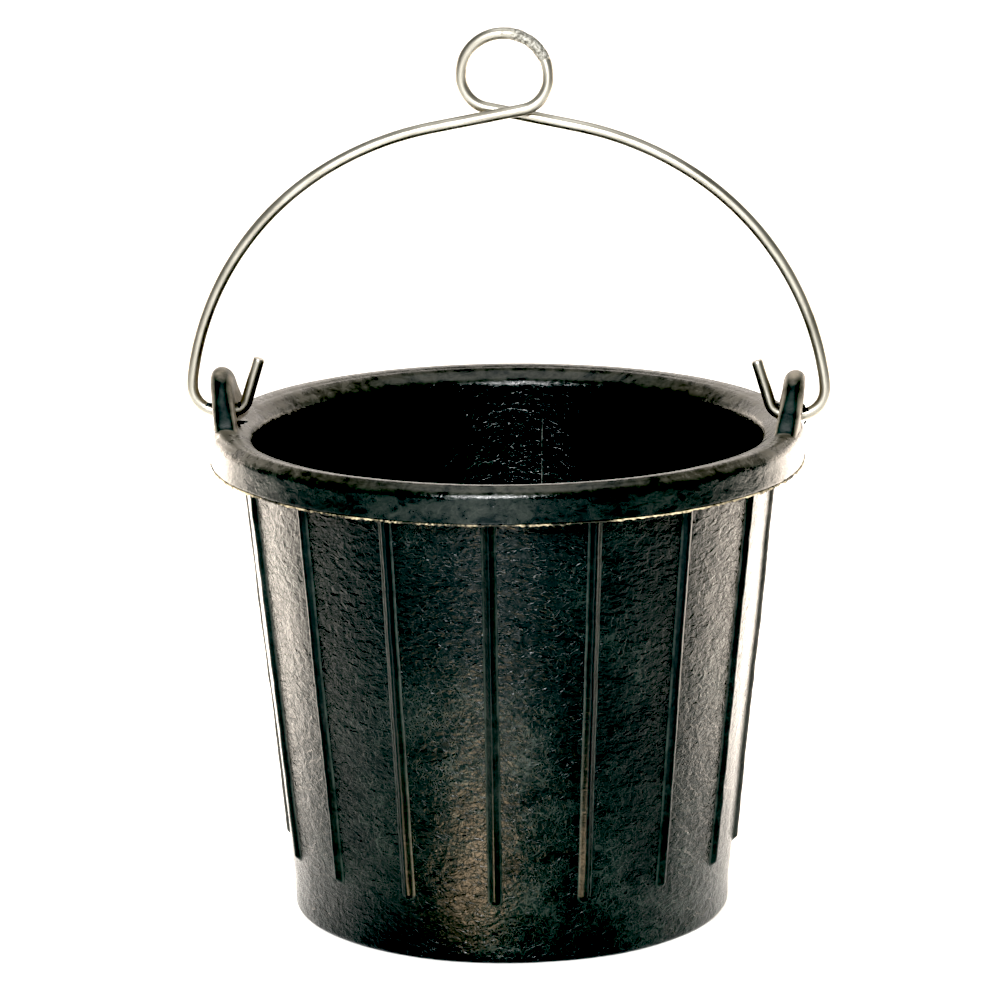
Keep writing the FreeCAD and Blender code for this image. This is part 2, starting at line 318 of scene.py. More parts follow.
wall_rubber = moulded_rubber("moulded_rubber_wall")
# The rim's crest is paled near the ears by scuff and by painted top light.
rim_rubber = moulded_rubber("moulded_rubber_rim", film=0.058, hairs=0.05, patch_size=3.2, edge=0.08,
                            bare_share=0.48, bare_clouds=0.30, wrinkle=0.25, scuff_and_top_light=0.42, satin=0.15,
                            dusty="#868c82")
# The ribs' pale foot lines are dust and painted highlight.
rib_rubber = moulded_rubber("moulded_rubber_rib", film=0.03, hairs=0.06, patch_size=5, wrinkle=0.3,
                            foot_dust_and_highlight=0.11, satin=0.28, shine=0.25)
# The ears' crowns and broad sides are paled by scuff and by painted light.
ear_rubber = moulded_rubber("moulded_rubber_ear", film=0.06, hairs=0.02, patch_size=4, bare_share=0.45,
                            bare_clouds=0.2, wrinkle=0.2, scuff_and_top_light=0.9, scuff_and_light_from=0.66,
                            rubbed_and_lit_sides=0.9, satin=0.40)
print("rubber finishes:", ", ".join(m.name for m in (wall_rubber, rim_rubber, rib_rubber, ear_rubber)))

# %% [markdown]
# ## Galvanised steel wire
# The bail is hot-dip galvanised steel wire: a dull satin zinc coat, drawn lengthwise, with rubbed
# bright spots. Zinc is a warm grey metal. Its draw marks run along the wire, so the pattern
# uses a map that unrolls the wire: millimetres along it, and millimetres round it.

# %% Galvanised wire
WIRE_RADIUS = 3.1


def galvanised_wire(name, patch_from, patch_to):
    """Satin zinc on steel, with a rubbed, pitted patch between two places along the wire."""
    made, node = new_material(name)
    unrolled = node("UVMap", {}, uv_map="along_and_round")
    marks = soft_noise(node, unrolled, 0.8, stretch=(0.03, 1, 1), Detail=3.0)
    blotches = soft_noise(node, unrolled, 6.0, stretch=(0.5, 1, 1), Detail=4.0)
    pits = soft_noise(node, unrolled, 0.9, Detail=4.0, Roughness=0.7)

    # The patch's ends are ragged, because the blotches shift them along the wire.
    along = node("SeparateXYZ", {0: unrolled}).outputs["X"]
    ragged = node("Math", {0: blotches, 1: 9.0, 2: along}, operation="MULTIPLY_ADD")
    begun = node("MapRange", {"Value": ragged, "From Min": patch_from, "From Max": patch_from + 1.0})
    ended = node("MapRange", {"Value": ragged, "From Min": patch_to, "From Max": patch_to + 5.0,
                              "To Min": 1.0, "To Max": 0.0})
    patch = node("Math", {0: begun, 1: ended}, operation="MULTIPLY")
    dull = node("MapRange", {"Value": blotches, "From Min": 0.35, "From Max": 0.7})
    faint_patch = node("Math", {0: patch, 1: 0.8}, operation="MULTIPLY")
    zinc = node("Mix", {"Factor": dull, "A": linear("#b0aca1"), "B": linear("#8f8b80")},
                data_type="RGBA")
    mottle = node("MapRange", {"Value": pits, "From Min": 0.42, "From Max": 0.60})
    wear_and_top_light = node("Mix", {"Factor": mottle, "A": linear("#5f5d56"), "B": linear("#c4c2ba")},
                data_type="RGBA")
    zinc = node("Mix", {"Factor": faint_patch, "A": zinc, "B": wear_and_top_light}, data_type="RGBA")
    satin = node("MapRange", {"Value": marks, "From Min": 0.3, "From Max": 0.7,
                              "To Min": 0.32, "To Max": 0.46})
    roughness = node("Math", {0: patch, 1: 0.25, 2: satin}, operation="MULTIPLY_ADD")
    pitted = node("Math", {0: pits, 1: patch}, operation="MULTIPLY")
    relief = node("Math", {0: pitted, 1: 0.8}, operation="MULTIPLY")
    relief = node("Math", {0: marks, 1: 0.02, 2: relief}, operation="MULTIPLY_ADD")
    bump = node("Bump", {"Height": relief, "Distance": MM})
    shader = node("BsdfPrincipled", {"Base Color": zinc, "Metallic": 1.0, "Roughness": roughness,
                                     "Normal": bump})
    node("OutputMaterial", {"Surface": shader})
    return made


print("wire finish for a radius of", WIRE_RADIUS, "mm")

# %% [markdown]
# ## How rubber wanders
# No moulded rubber is a true cone: it shrinks a little unevenly as it cools. A slow wander of a few
# tenths of a millimetre bends the highlights the way the real wall does. It is a function of place
# alone, so that two skins that meet wander together and show no gap.

# %% Wander of the rubber's surface
def wander(x, y, z):
    """How far the surface stands off its true place, in millimetres."""
    slow = noise.noise(Vector((x, y, z)) / 62)
    quick = noise.noise(Vector((x + 40, y, z)) / 15)
    return 0.55 * slow + 0.16 * quick


def turned(profile, columns, lumpy=1.0):
    """Points of a section turned about the bucket's axis, with the rubber's wander."""
    points = []
    for radius, height in profile:
        for j in range(columns):
            angle = 2 * math.pi * j / columns
            x, y = math.cos(angle), math.sin(angle)
            off = lumpy * wander(radius * x, radius * y, height)
            points.append(((radius + off) * x, (radius + off) * y, height))
    return points


def arc_points(centre, radius, start, end, count):
    """Points of an arc in a section, with angles in degrees from outward towards up."""
    angles = [math.radians(start + (end - start) * i / (count - 1)) for i in range(count)]
    return [(centre[0] + radius * math.cos(a), centre[1] + radius * math.sin(a)) for a in angles]


def stepped(section, step):
    """The section with points added, so that none of its sides is longer than step."""
    result = []
    for (r0, z0), (r1, z1) in zip(section, section[1:]):
        parts = max(1, math.ceil(math.hypot(r1 - r0, z1 - z0) / step))
        result += [(r0 + (r1 - r0) * i / parts, z0 + (z1 - z0) * i / parts) for i in range(parts)]
    return result + [section[-1]]


# %% [markdown]
# ## Wall and floor
# The wall is a tapered shell on an upright foot. Turning a section is the natural way to build it,
# because the mould was turned on a lathe. The section is a closed loop, so the skin has a real
# thickness, and its rows are close enough for the wander to show in the silhouette.

# %% Turn the wall
WALL_COLUMNS = 448
BASE_WIDTH = 9.0         # how far the wall's base reaches in, where the floor takes over
INNER_FILLET = 6.5       # between the wall's inside and the floor
inner_foot = wall_radius(FLOOR_THICKNESS) - WALL_ACROSS
wall_section = (
    [(FOOT_RADIUS - BASE_WIDTH, 0.0)]
    + arc_points((FOOT_RADIUS - FOOT_ROUND, FOOT_ROUND), FOOT_ROUND, -90, 0, 6)
    + [(FOOT_RADIUS, FOOT_HEIGHT - 1.2), (FOOT_RADIUS + 0.12, FOOT_HEIGHT + 1.2)]
    + [(WALL_TOP_RADIUS, BAND_UNDERSIDE), (WALL_TOP_RADIUS, BAND_UNDERSIDE + 1.2)]
    + [(WALL_TOP_RADIUS - WALL_ACROSS, BAND_UNDERSIDE)]
    + [(inner_foot + 0.7, FLOOR_THICKNESS + 7)]
    + arc_points((inner_foot - 5.8, FLOOR_THICKNESS + INNER_FILLET), INNER_FILLET, 0, -90, 7)
    + [(inner_foot - 7, FLOOR_THICKNESS - 3), (FOOT_RADIUS - BASE_WIDTH, 0.4)]
)
wall_rows = stepped(wall_section, 3.0)
wall_points = turned(wall_rows, WALL_COLUMNS)
wall_skin = piece("bucket_wall", wall_points, grid_faces(len(wall_rows), WALL_COLUMNS, ring_rows=True),
                  wall_rubber, "bucket", ["wall"])
print("wall", len(wall_skin.data.vertices), "points")

# %% Turn the floor
FLOOR_COLUMNS = 160
floor_rim = FOOT_RADIUS - BASE_WIDTH + 0.4      # laps over the wall's base a little
floor_section = [(0.4, 0.25), (floor_rim, 0.25), (floor_rim, 6.0),
                 (inner_foot - INNER_FILLET, FLOOR_THICKNESS - 0.05), (0.4, FLOOR_THICKNESS - 0.05)]
floor_rows = stepped(floor_section, 4.0)
floor_points = turned(floor_rows, FLOOR_COLUMNS, lumpy=0.3)
floor_faces = grid_faces(len(floor_rows), FLOOR_COLUMNS, ring_rows=True)
floor_skin = piece("bucket_floor", floor_points, floor_faces, wall_rubber, "bucket",
                   ["floor_disc"])
print("floor", len(floor_skin.data.vertices), "points")

# %% [markdown]
# ## Rim
# The rim is a thick band with a domed crest, so it feels round to the hand and keeps the mouth stiff.
# Its section has one arc for each real rounding. The lip inside, the crest and the outer shoulder
# catch three separate highlights, and those are what make it read as thick rubber.

# %% Turn the rim
RIM_COLUMNS = 640
MOUTH = (133.2, 249.0)
SHOULDER_ROUND = 5.0
rim_section = (
    [(WALL_TOP_RADIUS - WALL_ACROSS, BAND_UNDERSIDE), MOUTH]
    + arc_points((139.6, 249.6), 6.4, 180, 118, 7)
    + [(139.6, 257.4), (142.0, 258.4)]
    + arc_points((147.8, 247.5), 12.0, 112, 78, 7)
    + arc_points((BAND_RADIUS - SHOULDER_ROUND, 253.2), SHOULDER_ROUND, 64, 0, 9)
    + [(BAND_RADIUS, BAND_UNDERSIDE + 0.6), (BAND_RADIUS - 0.5, BAND_UNDERSIDE)]
)
rim_rows = stepped(rim_section, 1.3)
rim_points = turned(rim_rows, RIM_COLUMNS)
rim_skin = piece("rim", rim_points, grid_faces(len(rim_rows), RIM_COLUMNS, ring_rows=True),
                 rim_rubber, "bucket", ["rim_band"])
print("rim", len(rim_skin.data.vertices), "points")

# %% [markdown]
# ## Ribs
# Sixteen rounded ribs were cut into the mould, so they stand out of the wall. Each one is a small
# height map laid on the cone: the height depends only on the distance from the rib's middle line,
# which also rounds its lower end. Its sides slope, so that the part leaves the mould, and run into
# the wall with a fillet; a cosine wave has just that section. A back inside the wall closes it.

# %% Raise the ribs
def rib_height(distance):
    """Height of a rib over the wall at a distance from its middle line: one smooth wave."""
    if distance > RIB_SKIRT:
        return -0.2
    return RIB_RISE * 0.5 * (1 + math.cos(math.pi * distance / RIB_SKIRT)) - 0.06


def on_wall(angle, across, height, lift):
    """A point over the wall, given in millimetres across and up from a rib's middle line."""
    radius = wall_radius(height)
    turn = angle + across / radius
    x, y = math.cos(turn), math.sin(turn)
    off = radius + wander(radius * x, radius * y, height) + lift
    return off * x, off * y, height


def rib_skin(number):
    """One rib and its closed back, number 0 at the front."""
    angle = math.radians(-90 + number * 360 / RIB_COUNT)
    low = RIB_BOTTOM + RIB_HALF_WIDTH
    half = [0, 0.6, 1.1, 1.6, 2.0, 2.4, 2.8, 3.2, 3.6, 4.0, 4.3]
    across = [-u for u in reversed(half[1:])] + half
    heights = [low - 4.3 + 0.45 * i for i in range(16)]
    heights += list(np.arange(heights[-1] + 2.0, BAND_UNDERSIDE, 2.0)) + [BAND_UNDERSIDE + 0.8]
    front, back = [], []
    for height in heights:
        sway = 0.22 * noise.noise(Vector((number * 9.1, 0, height / 21)))
        swell = 1 + 0.10 * noise.noise(Vector((number * 5.3, 7, height / 9)))
        for u in across:
            distance = math.hypot(u, max(low - height, 0))
            front.append(on_wall(angle, u + sway, height, rib_height(distance) * swell))
            back.append(on_wall(angle, u + sway, height, -1.5))
    rows, columns = len(heights), len(across)
    faces = grid_faces(rows, columns, ring_columns=False)
    count = rows * columns
    faces += [tuple(count + k for k in reversed(f)) for f in faces]
    border = ([j for j in range(columns)] + [i * columns + columns - 1 for i in range(1, rows)]
              + [(rows - 1) * columns + j for j in range(columns - 2, -1, -1)]
              + [i * columns for i in range(rows - 2, 0, -1)])
    for here, there in zip(border, border[1:] + border[:1]):
        faces.append((there, here, count + here, count + there))
    name = f"rib_{number + 1:02d}"
    made = piece("rib_skin_" + name[-2:], front + back, faces, rib_rubber, "bucket", [name])
    from_middle = made.data.attributes.new("from_middle", "FLOAT", "POINT")
    for i, height in enumerate(heights):
        for j, u in enumerate(across):
            from_middle.data[i * columns + j].value = math.hypot(u, max(low - height, 0))
    return made


rib_skins = [rib_skin(number) for number in range(RIB_COUNT)]
print(len(rib_skins), "ribs of", len(rib_skins[0].data.vertices), "points")

# %% [markdown]
# ## Ears
# An ear is a thick lug that grows out of the rim, with a round crown and every edge rounded. Its
# skin is drawn as closed loops: the hole's edge, then the side view's outline drawn in by as much as
# the rounding asks, from one broad side to the other, and back to the hole. Joining that to a slice
# of rim, remeshing both into small even cells and smoothing them lightly gives the fillet at the
# root, as sanding clay would. The hole is left out of the sanding, or it would close.

# %% Draw an ear's side view
EAR_HALF_THICKNESS = 5.7
EAR_MIDDLE_RADIUS = 148.0
EAR_HOLE_RADIUS = 4.2
EAR_CROWN_RADIUS = 17.6
EAR_CROWN_TURN = 57
EAR_POINTS = 220
ear_top = size_mm("ear_right")[1].z


def ear_outline():
    """Even points round the side view, as distances across and heights, starting at the crown."""
    crown = arc_points((0, ear_top - EAR_CROWN_RADIUS), EAR_CROWN_RADIUS, 90, 90 - EAR_CROWN_TURN, 24)
    root = [(25.7, 262.5), (26.6, 260.7), (28.0, 258.9), (30.0, 257.6), (32.5, 257.0), (32.5, 250.0)]
    half = crown + root
    loop = half + [(-y, z) for y, z in reversed(half)][:-1]
    loop = np.array(loop + [loop[0]])
    along = np.concatenate([[0], np.cumsum(np.hypot(*np.diff(loop, axis=0).T))])
    even = np.linspace(0, along[-1], EAR_POINTS, endpoint=False)
    return np.column_stack([np.interp(even, along, loop[:, k]) for k in (0, 1)])


def ear_loops():
    """Loops of (stand-off from the ear's middle, across, height) that close into one skin."""
    outline = ear_outline()
    ahead = np.roll(outline, -1, axis=0) - np.roll(outline, 1, axis=0)
    ahead /= np.linalg.norm(ahead, axis=1)[:, None]
    inward = np.column_stack([ahead[:, 1], -ahead[:, 0]])
    rounding = 3.2 + 2.4 * np.clip((outline[:, 1] - 264) / 14, 0, 1)      # nearly full at the crown
    turn = np.arctan2(outline[:, 1] - PIVOT_HEIGHT, outline[:, 0])
    hole = np.column_stack([np.cos(turn), np.sin(turn)]) * EAR_HOLE_RADIUS + (0, PIVOT_HEIGHT)
    levels = [math.radians(a) for a in range(-90, 91, 15)]
    loops = [np.column_stack([np.full(EAR_POINTS, -EAR_HALF_THICKNESS), hole])]
    for level in levels:
        drawn_in = outline + inward * (rounding * (1 - math.cos(level)))[:, None]
        flat_part = EAR_HALF_THICKNESS - rounding
        stand_off = np.sign(level) * flat_part + rounding * math.sin(level)
        loops.append(np.column_stack([stand_off, drawn_in]))
    loops.append(np.column_stack([np.full(EAR_POINTS, EAR_HALF_THICKNESS), hole]))
    return loops


print("ear", len(ear_loops()), "loops of", EAR_POINTS, "points, top at", round(ear_top, 1), "mm")

# %% Grow the ears out of the rim
EAR_CELL = 0.6
SLICE_TURN = 16          # how far the slice of rim goes each way from the ear's middle, in degrees
SLICE_COLUMNS = 25
SANDING_PASSES = 30


def rim_slice(side):
    """A closed slice of the rim's upper part under an ear, a little under the rim's own skin."""
    section = [(136.5, 250.5), (138.3, 255.6), (142.0, 257.9), (147.7, 259.15), (150.6, 258.3),
               (152.6, 256.6), (154.0, 254.0), (154.5, 252.6), (154.5, 247.0), (139.0, 247.0)]
    middle = 0 if side > 0 else math.pi
    points = []
    for j in range(SLICE_COLUMNS):
        turn = middle + math.radians(-SLICE_TURN + 2 * SLICE_TURN * j / (SLICE_COLUMNS - 1))
        points += [(r * math.cos(turn), r * math.sin(turn), z) for r, z in section]
    rows = len(section)
    faces = [tuple(range(rows)), tuple((SLICE_COLUMNS - 1) * rows + i for i in reversed(range(rows)))]
    for j in range(SLICE_COLUMNS - 1):
        for i in range(rows):
            k = (i + 1) % rows
            faces.append((j * rows + i, (j + 1) * rows + i, (j + 1) * rows + k, j * rows + k))
    return points, faces


def ear_skin(name, side):
    """The lug and its slice of rim, joined, remeshed and smoothed into one soft form."""
    points, faces = rim_slice(side)
    offset = len(points)
    loops = ear_loops()
    for stand_off, across, height in np.concatenate(loops):
        radius = EAR_MIDDLE_RADIUS + TAPER * (height - PIVOT_HEIGHT) + stand_off
        points.append((side * math.sqrt(radius ** 2 - across ** 2), across, height))
    faces += [tuple(offset + k for k in f) for f in grid_faces(len(loops), EAR_POINTS, ring_rows=True)]
    made = piece(name + "_skin", points, faces, ear_rubber, "bucket", [name], crease=60)
    bpy.context.view_layer.objects.active = made
    cells = made.modifiers.new("cells", "REMESH")
    cells.mode = "VOXEL"
    cells.voxel_size = EAR_CELL * MM
    bpy.ops.object.modifier_apply(modifier="cells")
    rubbed = made.vertex_groups.new(name="rubbed")
    for vertex in made.data.vertices:
        from_wire = math.hypot(vertex.co.y / MM, vertex.co.z / MM - PIVOT_HEIGHT)
        rubbed.add([vertex.index], min(1.0, max(0.05, (from_wire - 4.0) / 5.0)), "REPLACE")
    sanding = made.modifiers.new("sanding", "SMOOTH")
    sanding.factor = 0.5
    sanding.iterations = SANDING_PASSES
    sanding.vertex_group = "rubbed"
    bpy.ops.object.modifier_apply(modifier="sanding")
    for vertex in made.data.vertices:
        vertex.co += vertex.normal * MM * 0.14 * noise.noise(vertex.co / MM / 9)
    made.data.shade_smooth()
    return made


ear_skins = [ear_skin("ear_left", -1), ear_skin("ear_right", 1)]
print("ears of", [len(e.data.polygons) for e in ear_skins], "faces")

# %% [markdown]
# ## Bail
# The bail is one wire, bent cold over pins: a hook through each ear, two long arms and one full
# turn for hanging it up. A bender works from a list of bends, each a radius and an angle, and so
# does this cell. The list gives the wire's middle line, and a ring of points is swept along it.

# %% Walk along the bends
STEP = 0.8               # distance from one point of the wire's line to the next


def walk(start, heading, bends):
    """Points along straight runs (length, 0) and bends (radius, turn); angles in degrees."""
    points = [Vector(start)]
    heading = math.radians(heading)
    for size, turn in bends:
        length = size if turn == 0 else abs(math.radians(turn)) * size
        parts = max(2, round(length / STEP))
        for _ in range(parts):
            half = math.radians(turn) / parts / 2
            heading += half
            points.append(points[-1] + Vector((math.cos(heading), math.sin(heading))) * length / parts)
            heading += half
    return points


HOOK_TIP, HOOK_INNER, HOOK_OUTER = (23.6, 0), (8.0, 73), (13.0, 90)
ARM = [(48.5, 8.8), (155.2, 50.0), (168.6, 19.9)]
EYE_HALF_WIDTH, EYE_TOP = 22.6, 463.0
EYE_LOWER, EYE_UPPER = 16.0, 22.0
STRAND_OFFSET = 3.25
rising = 90 - sum(turn for _, turn in ARM)
hook_start = (144.6, PIVOT_HEIGHT)
inner_hook = walk(hook_start, 180, [(HOOK_INNER[0], -HOOK_INNER[1]), HOOK_TIP])
outer_side = walk(hook_start, 0, [(7.9, 0), HOOK_OUTER] + ARM)
arm = list(reversed(inner_hook)) + outer_side[1:]
crossing = arm[-1].y + arm[-1].x * math.tan(math.radians(rising))
print(f"arm ends at {arm[-1].x:.1f}, {arm[-1].y:.1f}; strands cross at height {crossing:.1f}")

# %% Close the eye and lay the strands side by side
eye_start_x = EYE_HALF_WIDTH - EYE_LOWER * (1 - math.sin(math.radians(rising)))
eye_start = Vector((eye_start_x, crossing + eye_start_x * math.tan(math.radians(rising))))
side_run = EYE_TOP - EYE_UPPER - eye_start.y - EYE_LOWER * math.cos(math.radians(rising))
across_run = (eye_start - Vector((-arm[-1].x, arm[-1].y))).length
half_eye = [(EYE_LOWER, 90 - rising), (side_run, 0), (EYE_UPPER, 90), (EYE_HALF_WIDTH - EYE_UPPER, 0)]
mirrored = [Vector((-p.x, p.y)) for p in arm]
front_strand = walk(mirrored[-1], rising, [(across_run, 0)] + half_eye)
back_strand = [Vector((-p.x, p.y)) for p in reversed(front_strand)]
flat = mirrored + front_strand[1:] + back_strand[1:] + list(reversed(arm))[1:]
first_eye, last_eye = len(mirrored), len(flat) - len(arm)


def strand_side(i):
    """How far the wire stands in front of or behind the middle plane at a point of its path."""
    def leaning(point):
        """The arm leans from the middle plane at the pivot to its full offset at the crossing."""
        return STRAND_OFFSET * (point.y - PIVOT_HEIGHT) / (crossing - PIVOT_HEIGHT)

    across = round(across_run / STEP)
    enter, leave = first_eye + across, last_eye - across
    if i <= enter:
        return -min(leaning(flat[i]), STRAND_OFFSET)
    if i >= leave:
        return min(leaning(flat[i]), STRAND_OFFSET)
    part = (i - enter) / (leave - enter)
    return STRAND_OFFSET * (2 * part * part * (3 - 2 * part) - 1)


path = []
for i, point in enumerate(flat):
    bow = 0.35 * noise.noise(Vector((i / 90, 3, 0))) if 60 < i < len(flat) - 60 else 0.0
    path.append(Vector((point.x, strand_side(i) + bow, point.y)))
wire_length = sum((b - a).length for a, b in zip(path, path[1:]))
print(f"{wire_length:.0f} mm of wire in {len(path)} points")

# %% Sweep the wire
WIRE_SIDES = 24
PATCH_FROM, PATCH_TO = 0.466, 0.497      # the rubbed stretch of the eye, as shares of the wire


def swept_wire():
    """Rings of points along the path, and for each its distance along and round the wire."""
    points, unrolled = [], []
    side = Vector((0, 1, 0))
    travelled = 0.0
    rings = len(path)
    for i, centre in enumerate(path):
        ahead = (path[min(i + 1, rings - 1)] - path[max(i - 1, 0)]).normalized()
        side = (side - ahead * side.dot(ahead)).normalized()
        up = ahead.cross(side)
        travelled += (centre - path[i - 1]).length if i else 0
        share = i / (rings - 1)
        rubbed = max(0.0, min(1.0, (share - PATCH_FROM) / 0.004, (PATCH_TO - share) / 0.006))
        end = min(i, rings - 1 - i)
        radius = WIRE_RADIUS - (0.32, 0.08)[end] if end < 2 else WIRE_RADIUS
        for j in range(WIRE_SIDES):
            turn = 2 * math.pi * j / WIRE_SIDES
            out = side * math.cos(turn) + up * math.sin(turn)
            spot = centre + out * radius
            pitting = rubbed * (0.30 * noise.noise(spot / 1.1) + 0.25 * noise.noise(spot / 2.7))
            hammered = 0.035 * noise.noise(spot / 6)
            points.append(spot + out * (pitting + hammered))
            unrolled.append((travelled, turn * WIRE_RADIUS))
    return points, unrolled


wire_points, wire_map = swept_wire()
wire_rings = len(path)
wire_faces = grid_faces(wire_rings, WIRE_SIDES)
for ring, inward in ((0, 1), (wire_rings - 1, -1)):      # a fan of faces closes each end
    middle = len(wire_points)
    wire_points.append(path[ring] + (path[ring] - path[ring + inward]).normalized() * 0.05)
    wire_map.append(wire_map[ring * WIRE_SIDES])
    wire_faces += [(ring * WIRE_SIDES + j, ring * WIRE_SIDES + (j + 1) % WIRE_SIDES, middle)
                   for j in range(WIRE_SIDES)]
wire_finish = galvanised_wire("galvanised_steel_wire", PATCH_FROM * wire_length + 3,
                              PATCH_TO * wire_length)
bail_skin = piece("bail", wire_points, wire_faces, wire_finish, "bail", ["bail_wire"])
unroll = bail_skin.data.uv_layers.new(name="along_and_round")
for corner in bail_skin.data.loops:
    unroll.data[corner.index].uv = wire_map[corner.vertex_index]
print("bail", len(wire_points), "points")

# %% [markdown]
# ## Flash and torn crumbs
# Where the two halves of the mould met, a thin fin of rubber squeezed out under the band and was
# torn off, leaving a pale ragged line. The wire was pushed through the ears by force and tore
# small crumbs out of the holes. Both are geometry, because they break the outline.

# %% Leave the torn flash under the band
def torn_rubber(name, dark_tone, pale, size):
    """A torn edge of rubber: a rough, unglazed break, paler where it is thin and stretched."""
    made, node = new_material(name)
    metres = node("TexCoord", {}).outputs["Object"]
    place = node("VectorMath", {0: metres, "Scale": 1 / MM}, operation="SCALE")
    shreds = soft_noise(node, place, size, Detail=3.0, Roughness=0.7)
    stretches = soft_noise(node, place, 9 * size, (6, 2, 1), Detail=2.0)
    paler = node("Math", {0: shreds, 1: 0.6}, operation="MULTIPLY")
    paler = node("Math", {0: stretches, 1: 0.6, 2: paler}, operation="MULTIPLY_ADD")
    share = node("MapRange", {"Value": paler, "From Min": 0.52, "From Max": 0.74})
    colour = node("Mix", {"Factor": share, "A": linear(dark_tone), "B": linear(pale)}, data_type="RGBA")
    bump = node("Bump", {"Height": shreds, "Distance": MM, "Strength": 0.6})
    shader = node("BsdfPrincipled", {"Base Color": colour, "Roughness": 0.62, "Normal": bump,
                                     "Specular IOR Level": 0.3})
    node("OutputMaterial", {"Surface": shader})
    return made


flash_rubber = torn_rubber("torn_rubber_flash", "#24231d", "#cdbd9c", 1.3)
FLASH_COLUMNS = 1800


def flash_ring():
    """Five points round the fin's section at each place, further out and down where more was left."""
    points = []
    for j in range(FLASH_COLUMNS):
        angle = 2 * math.pi * j / FLASH_COLUMNS
        x, y = math.cos(angle), math.sin(angle)
        off = wander(BAND_RADIUS * x, BAND_RADIUS * y, BAND_UNDERSIDE)
        spot = Vector((x, y, 0)) * BAND_RADIUS
        tear = 0.5 + 1.0 * noise.noise(spot / 1.7) + 0.8 * noise.noise(spot / 9)
        out, down = max(0.1, 0.45 * tear + 0.2), max(0.15, 0.7 * tear)
        fin = ((-1.2, 0.25), (out * 0.6, 0.5), (out, 0.1), (out * 0.8, -down), (-1.2, -0.35))
        for radius, height in fin:
            reach = BAND_RADIUS + off + radius
            points.append((reach * x, reach * y, BAND_UNDERSIDE + height))
    return points


flash_skin = piece("parting_flash", flash_ring(), grid_faces(FLASH_COLUMNS, 5, ring_rows=True),
                   flash_rubber, "bucket")
print("flash", len(flash_skin.data.vertices), "points")

# %% [markdown]
# ## Lap seam
# The wall is laid up in the mould from a rubber sheet, and its two ends overlap at the back. Inside,
# the overlap stays as a fine ragged bead that dust turns pale. It is a narrow strip of real geometry,
# up to a fifth of a millimetre proud of the wall, and it comes and goes.

# %% Leave the lap seam inside the back wall
SEAM_ANGLE = math.radians(86.0)
SEAM_LOW, SEAM_HIGH = 18.0, 248.0
SEAM_ROWS = 330
SEAM_ROOT = 0.4          # how deep the bead's two edges are sunk in the wall


def seam_points():
    """Five points across the seam at each height, the middle three proud of the inner wall."""
    points = []
    for i in range(SEAM_ROWS):
        height = SEAM_LOW + (SEAM_HIGH - SEAM_LOW) * i / (SEAM_ROWS - 1)
        radius = wall_radius(min(height, BAND_UNDERSIDE)) - WALL_ACROSS
        sway = 0.5 * noise.noise(Vector((3, 1, height / 24)))
        wide = 0.55 + 0.35 * noise.noise(Vector((9, 2, height / 3)))      # half the bead's width
        proud = max(-0.1, 0.04 + 0.38 * noise.noise(Vector((5, 8, height / 4))))
        stand_offs = (-SEAM_ROOT, 0.8 * proud, proud, 0.8 * proud, -SEAM_ROOT)
        for share, stand_off in zip((-1, -0.6, 0, 0.6, 1), stand_offs):
            turn = SEAM_ANGLE + (sway + wide * share) / radius
            x, y = math.cos(turn), math.sin(turn)
            reach = radius + wander(radius * x, radius * y, height) - stand_off
            points.append((reach * x, reach * y, height))
    return points


seam_faces = grid_faces(SEAM_ROWS, 5)
seam_faces += [(4, 3, 2, 1, 0), tuple((SEAM_ROWS - 1) * 5 + k for k in range(5))]
seam_rubber = torn_rubber("lap_seam_rubber", "#0c1110", "#62645f", 1.6)
seam_skin = piece("lap_seam", seam_points(), seam_faces, seam_rubber, "bucket")
print("seam", len(seam_skin.data.vertices), "points")

# %% Scatter crumbs at the wire holes
noise.seed_set(1)        # without a seed, noise_vector takes its offsets from the clock


def crumb(name, place, size, seed):
    """A torn shred of rubber: the hull of a few scattered points, subdivided and roughened."""
    draw = random.Random(seed)
    mesh = bmesh.new()
    for _ in range(11):
        away = Vector([draw.uniform(-1, 1) for _ in range(3)])
        mesh.verts.new([place[k] + away[k] * size[k] for k in range(3)])
    hull = bmesh.ops.convex_hull(mesh, input=mesh.verts)
    bmesh.ops.delete(mesh, geom=[v for v in hull["geom_interior"] if isinstance(v, bmesh.types.BMVert)],
                     context="VERTS")
    bmesh.ops.subdivide_edges(mesh, edges=mesh.edges, cuts=2, use_grid_fill=True)
    for vertex in mesh.verts:
        vertex.co += 0.35 * noise.noise_vector(vertex.co / 1.1)
    mesh.verts.index_update()
    points = [tuple(v.co) for v in mesh.verts]
    faces = [[v.index for v in f.verts] for f in mesh.faces]
    mesh.free()
    return piece(name, points, faces, rib_rubber, "bucket", crease=30)


# For each hole, the crumbs' places and half their sizes, in millimetres.
CRUMBS = {
    "left_inner": [((-140.2, -4.8, 258.5), (2.4, 0.8, 1.5)), ((-138.4, -4.4, 258.9), (2.6, 0.7, 1.0)),
                   ((-140.6, -3.6, 267.8), (1.0, 0.9, 1.6))],
    "left_outer": [((-156.2, -2.6, 267.8), (2.6, 0.5, 1.2)), ((-155.1, -3.5, 267.3), (1.2, 0.6, 0.8))],
    "right_inner": [((141.6, -2.4, 269.6), (1.5, 0.6, 0.9)), ((142.0, -3.0, 267.4), (0.9, 0.7, 1.5))],
    "right_outer": [((155.2, -3.4, 268.0), (1.1, 0.8, 2.3)), ((155.3, -3.6, 260.4), (0.9, 0.7, 1.5)),
                    ((156.0, -3.6, 267.5), (1.3, 0.6, 0.8))],
}
for hole, shreds in CRUMBS.items():
    for i, (place, size) in enumerate(shreds):
        crumb(f"crumb_{hole}_{i + 1}", place, size, seed=10 * i + len(hole))
print("crumbs", sum(len(s) for s in CRUMBS.values()))

